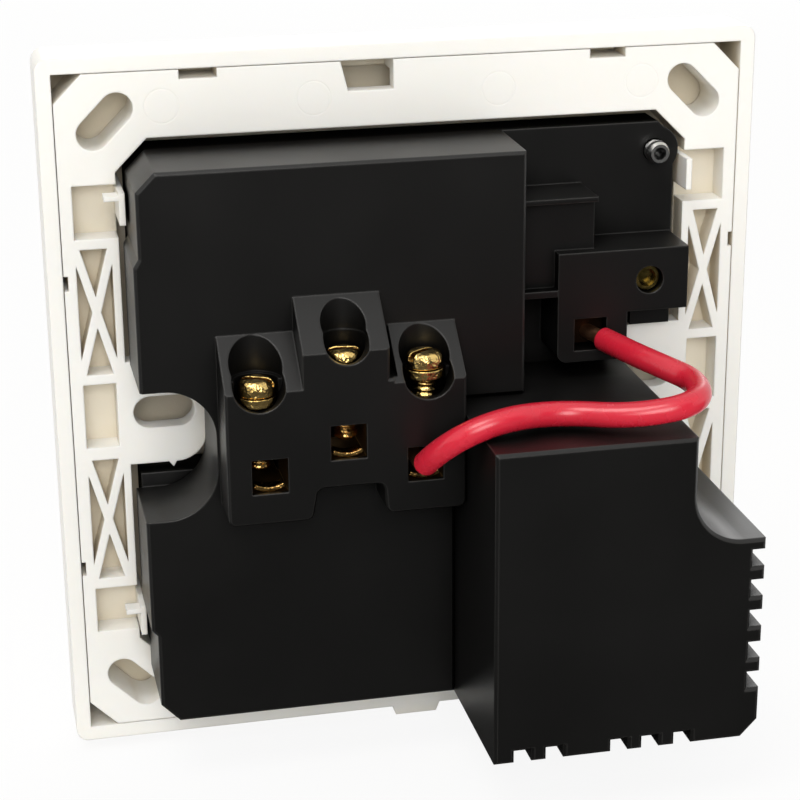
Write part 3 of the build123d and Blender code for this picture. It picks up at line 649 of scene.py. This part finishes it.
def sharp_rays(tree):
    """One for camera, glossy and transmission rays, nothing for diffuse ones."""
    path = tree.nodes.new("ShaderNodeLightPath")
    total = path.outputs["Is Camera Ray"]
    for kind in ("Is Glossy Ray", "Is Transmission Ray"):
        plus = tree.nodes.new("ShaderNodeMath")
        plus.operation = "ADD"
        plus.use_clamp = True
        tree.links.new(total, plus.inputs[0])
        tree.links.new(path.outputs[kind], plus.inputs[1])
        total = plus.outputs[0]
    return total


paper_share = paper_tree.nodes.new("ShaderNodeMath")
paper_share.operation = "MULTIPLY"
paper_share.inputs[1].default_value = PAPER_GLOW
paper_tree.links.new(sharp_rays(paper_tree), paper_share.inputs[0])
paper_tree.links.new(paper_share.outputs[0], paper_mix.inputs[0])
paper_tree.links.new(paper_lit.outputs[0], paper_mix.inputs[1])
paper_tree.links.new(paper_glow.outputs[0], paper_mix.inputs[2])
paper_tree.links.new(paper_mix.outputs[0], paper_out.inputs["Surface"])
floor.data.materials.append(paper)

flag_low = FLOOR_Z + FLAG_LIFT
flag_points = [
    (-FLAG_HALF, 0.0, flag_low),
    (FLAG_HALF, 0.0, flag_low),
    (FLAG_HALF, FLAG_DEEP, flag_low),
    (-FLAG_HALF, FLAG_DEEP, flag_low),
    (FLAG_HALF, FLAG_DEEP, FLAG_TALL),
    (-FLAG_HALF, FLAG_DEEP, FLAG_TALL),
]
flag = shape("dark_flag", flag_points, [(0, 1, 2, 3), (3, 2, 4, 5)])
flag.visible_camera = False
flag.visible_diffuse = False
flag.visible_shadow = False
flag.visible_transmission = False
felt = bpy.data.materials.new("dark_felt")
felt.use_nodes = True
felt_shader = felt.node_tree.nodes["Principled BSDF"]
felt_shader.inputs["Base Color"].default_value = (0.06, 0.06, 0.06, 1.0)
felt_shader.inputs["Roughness"].default_value = 1.0
flag.data.materials.append(felt)

world = bpy.data.worlds.new("studio_sky")
scene.world = world
world.use_nodes = True
sky_tree = world.node_tree
sky = sky_tree.nodes["Background"]
sky.inputs["Color"].default_value = (1.0, 0.99, 0.97, 1.0)
sky_level = sky_tree.nodes.new("ShaderNodeMapRange")
sky_level.inputs["To Min"].default_value = SKY_FILL
sky_level.inputs["To Max"].default_value = SKY_SEEN
sky_tree.links.new(sharp_rays(sky_tree), sky_level.inputs["Value"])
sky_tree.links.new(sky_level.outputs[0], sky.inputs["Strength"])


def soft_lamp(name, place, size, power, colour):
    """A round soft lamp that points at the origin."""
    lamp = bpy.data.lights.new(name, "AREA")
    lamp.shape = "DISK"
    lamp.size = size
    lamp.energy = power
    lamp.color = colour
    holder = bpy.data.objects.new(name, lamp)
    holder.location = place
    holder.rotation_euler = (-Vector(place)).to_track_quat("-Z", "Y").to_euler()
    scene.collection.objects.link(holder)


soft_lamp("overhead_softbox", place=(0.25, 0.30, 0.70), size=0.4, power=2.3, colour=(1.0, 0.98, 0.95))
soft_lamp("camera_key", place=(0.12, 0.85, 0.40), size=0.5, power=3.9, colour=(1.0, 0.99, 0.97))
soft_lamp("back_card", place=(-0.25, -0.85, 0.36), size=0.8, power=2.8, colour=(1.0, 1.0, 1.0))

camera_right = Vector((-0.97653, 0.21521, -0.00868))
camera_up = Vector((-0.08022, -0.32603, 0.94195))
camera_back = Vector((0.19989, 0.92054, 0.33564))
camera_place = Vector((0.05435, 0.24485, 0.08822))
lens = bpy.data.cameras.new("photo_camera")
lens.sensor_width = 36.0
lens.lens = 97.37
lens.clip_start = 0.01
camera = bpy.data.objects.new("photo_camera", lens)
camera.matrix_world = Matrix(
    [(camera_right[i], camera_up[i], camera_back[i], camera_place[i]) for i in range(3)] + [(0, 0, 0, 1)]
)
scene.collection.objects.link(camera)
scene.camera = camera
scene.view_settings.view_transform = "Standard"
